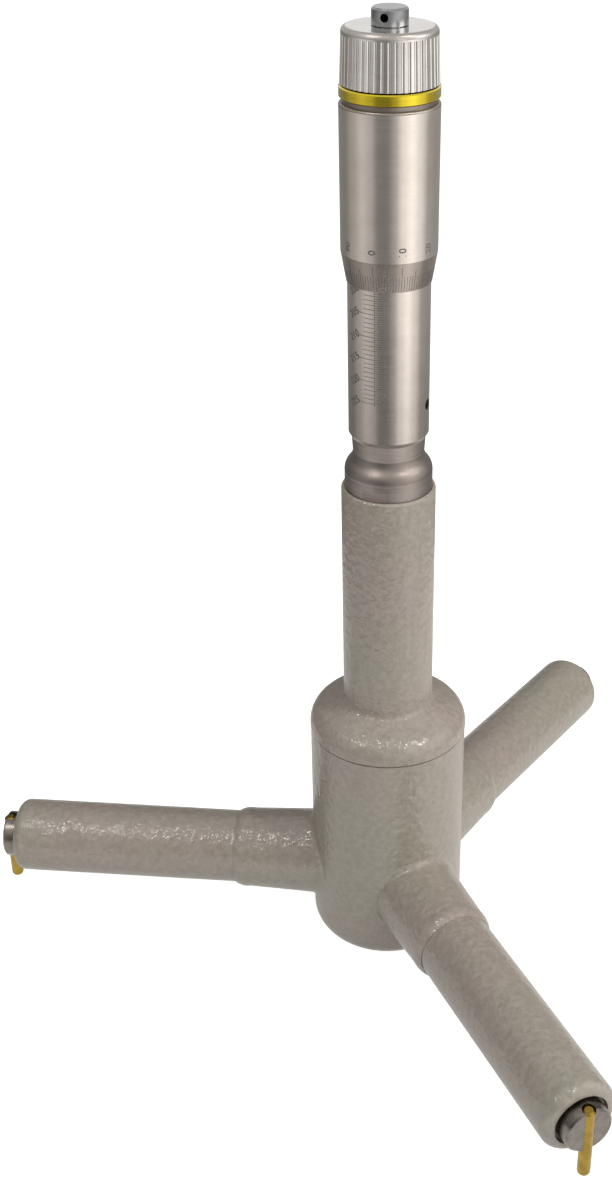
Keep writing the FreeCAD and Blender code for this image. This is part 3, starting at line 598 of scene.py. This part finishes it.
# %% Camera at the photograph's viewing angle
CAMERA_PLACE = Vector((0.02664, -0.32264, 0.28531))
CAMERA_PITCH = math.radians(30.06)
CAMERA_TURN = math.radians(4.77)
CAMERA_ROLL = 0.0027
LENS = 49.12
SHIFT_X = -0.0688
camera_data = bpy.data.cameras.new("camera")
camera_data.sensor_fit = "AUTO"
camera_data.sensor_width = 36
camera_data.lens = LENS
camera_data.shift_x = SHIFT_X
camera_data.clip_start = 0.01
camera = bpy.data.objects.new("camera", camera_data)
bpy.context.scene.collection.objects.link(camera)
turn = Matrix.Rotation(CAMERA_TURN, 4, "Z")
tilt = Matrix.Rotation(math.pi / 2 - CAMERA_PITCH, 4, "X")
roll = Matrix.Rotation(CAMERA_ROLL, 4, "Z")
camera.matrix_world = Matrix.Translation(CAMERA_PLACE) @ turn @ tilt @ roll
bpy.context.scene.camera = camera
print("camera lens:", LENS, "mm")


# %% Lamps
WARM_WHITE = (1.0, 0.98, 0.96)
LAMP_AIM = Vector((0, 0, 0.11))


def soft_lamp(name, azimuth, elevation, distance, width, height, power):
    """A soft box that faces the instrument; azimuth is seen from the camera, and left is negative."""
    data = bpy.data.lights.new(name, "AREA")
    data.shape = "RECTANGLE"
    data.size = width
    data.size_y = height
    data.energy = power
    data.color = WARM_WHITE
    lamp = bpy.data.objects.new(name, data)
    bpy.context.scene.collection.objects.link(lamp)
    around = math.radians(azimuth + math.degrees(CAMERA_TURN) - 90)
    up = math.radians(elevation)
    offset = Vector((math.cos(up) * math.cos(around), math.cos(up) * math.sin(around), math.sin(up)))
    lamp.location = LAMP_AIM + offset * distance
    lamp.rotation_euler = (-offset).to_track_quat("-Z", "Y").to_euler()
    return lamp


soft_lamp("left_soft_box", -62, 56, 0.9, 0.12, 0.09, 0.8)
soft_lamp("right_soft_box", 56, 54, 0.9, 0.16, 0.11, 1.9)
soft_lamp("front_strip", -46, 46, 0.82, 0.04, 0.5, 1.2)
soft_lamp("front_panel", 26, 14, 0.9, 0.4, 0.4, 1.4)
soft_lamp("side_panel", 78, 24, 0.9, 0.5, 0.5, 3.8)

# %% [markdown]
# Polished cylinders show whatever stands beside them at table height. A photographer puts
# white and grey cards there, so a ring of glowing card stands round the object, its glow painted light and
# shade:
# bright to the right, softer to the left, grey in front, and painted darker near the table, where real cards
# stand in each other's shade.
# Only reflections see it, so it neither lights the paint nor takes the shadow away.


# %% Ring of glowing cards for the reflections
CARD_RADIUS = 0.2
CARD_HEIGHT = 0.23
# the cards' glow is painted darker near the table as shade: this share of their light at the low height, all
# of it at the high one
CARD_FOOT_SHARE = 0.6
CARD_SHADE_LOW = 0.035
CARD_SHADE_HIGH = 0.098
# how bright the card glows, by the angle seen from the camera; left is negative
CARD_GLOW_TONES = (
    (-180, 0.30),
    (-119, 0.30),
    (-89, 0.55),
    (-63, 0.85),
    (-43, 0.68),
    (-26, 0.30),
    (-4, 0.28),
    (12, 0.55),
    (31, 1.30),
    (52, 1.75),
    (74, 1.20),
    (99, 0.52),
    (134, 0.42),
    (180, 0.30),
)


def ring_of_cards():
    builder = bmesh.new()
    bmesh.ops.create_cone(
        builder, cap_ends=False, segments=96, radius1=CARD_RADIUS, radius2=CARD_RADIUS, depth=CARD_HEIGHT
    )
    mesh = bpy.data.meshes.new("cards")
    builder.to_mesh(mesh)
    builder.free()
    material = bpy.data.materials.new("card_glow_tones")
    material.use_nodes = True
    tree = material.node_tree
    tree.nodes.clear()
    coordinate = tree.nodes.new("ShaderNodeTexCoord")
    turned = tree.nodes.new("ShaderNodeVectorRotate")
    turned.rotation_type = "Z_AXIS"
    # after this turn the gradient's seam lies behind the object and its middle faces the camera
    turned.inputs["Angle"].default_value = math.pi / 2 - CAMERA_TURN
    tree.links.new(coordinate.outputs["Object"], turned.inputs["Vector"])
    around = tree.nodes.new("ShaderNodeTexGradient")
    around.gradient_type = "RADIAL"
    tree.links.new(turned.outputs["Vector"], around.inputs["Vector"])
    ramp = tree.nodes.new("ShaderNodeValToRGB")
    ramp.color_ramp.interpolation = "EASE"
    stops = ramp.color_ramp.elements
    brightest = max(tone for angle, tone in CARD_GLOW_TONES)
    for index, (angle, tone) in enumerate(CARD_GLOW_TONES):
        place = 0.5 + angle / 360
        if index == 0:
            stop = stops[0]
        elif index == len(CARD_GLOW_TONES) - 1:
            stop = stops[-1]
        else:
            stop = stops.new(place)
        stop.position = place
        grey = tone / brightest
        stop.color = (grey, grey * 0.985, grey * 0.965, 1)
    tree.links.new(around.outputs["Fac"], ramp.inputs["Fac"])
    # the cards glow though they are no lamps: painted light and shade that only reflections see
    glow = tree.nodes.new("ShaderNodeEmission")
    parts = tree.nodes.new("ShaderNodeSeparateXYZ")
    tree.links.new(coordinate.outputs["Object"], parts.inputs["Vector"])
    low, high = CARD_SHADE_LOW - CARD_HEIGHT / 2, CARD_SHADE_HIGH - CARD_HEIGHT / 2
    shade = spread(tree, parts.outputs["Z"], low, high, CARD_FOOT_SHARE * brightest, brightest)
    tree.links.new(shade, glow.inputs["Strength"])
    tree.links.new(ramp.outputs["Color"], glow.inputs["Color"])
    output = tree.nodes.new("ShaderNodeOutputMaterial")
    tree.links.new(glow.outputs["Emission"], output.inputs["Surface"])
    mesh.materials.append(material)
    cards = bpy.data.objects.new("cards", mesh)
    cards.location.z = cad_box[0][2] + CARD_HEIGHT / 2
    bpy.context.scene.collection.objects.link(cards)
    cards.visible_camera = False
    cards.visible_diffuse = False
    cards.visible_transmission = False
    cards.visible_shadow = False
    return cards


ring_of_cards()

bpy.context.scene.view_settings.view_transform = "Standard"
